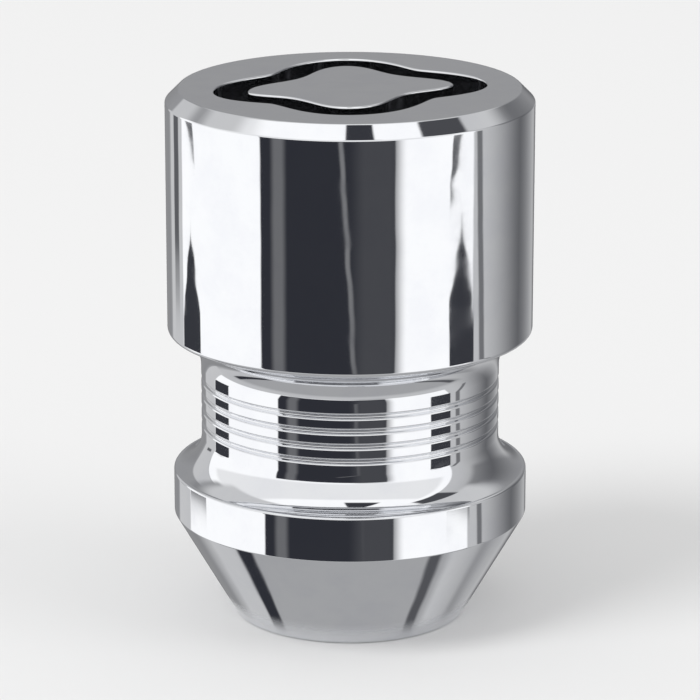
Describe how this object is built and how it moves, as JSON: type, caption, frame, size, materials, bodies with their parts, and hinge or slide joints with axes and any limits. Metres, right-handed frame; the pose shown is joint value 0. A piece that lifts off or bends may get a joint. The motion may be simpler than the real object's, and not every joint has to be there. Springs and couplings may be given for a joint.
{
  "type": "locking wheel nut",
  "caption": "Chromed cone-seat wheel nut with a ringed waist, a closed wavy key groove in its round head and a blind metric thread.",
  "frame": {"origin": "centre of the open end's face, on the thread axis", "axes": "+Z along the thread axis, from the open cone end towards the key end"},
  "size_m": [0.022, 0.022, 0.0325],
  "materials": {
    "chrome_plate": "bright polished chrome plate on turned steel"
  },
  "bodies": {
    "root": {"lock_nut": "chrome_plate"}
  },
  "joints": []
}
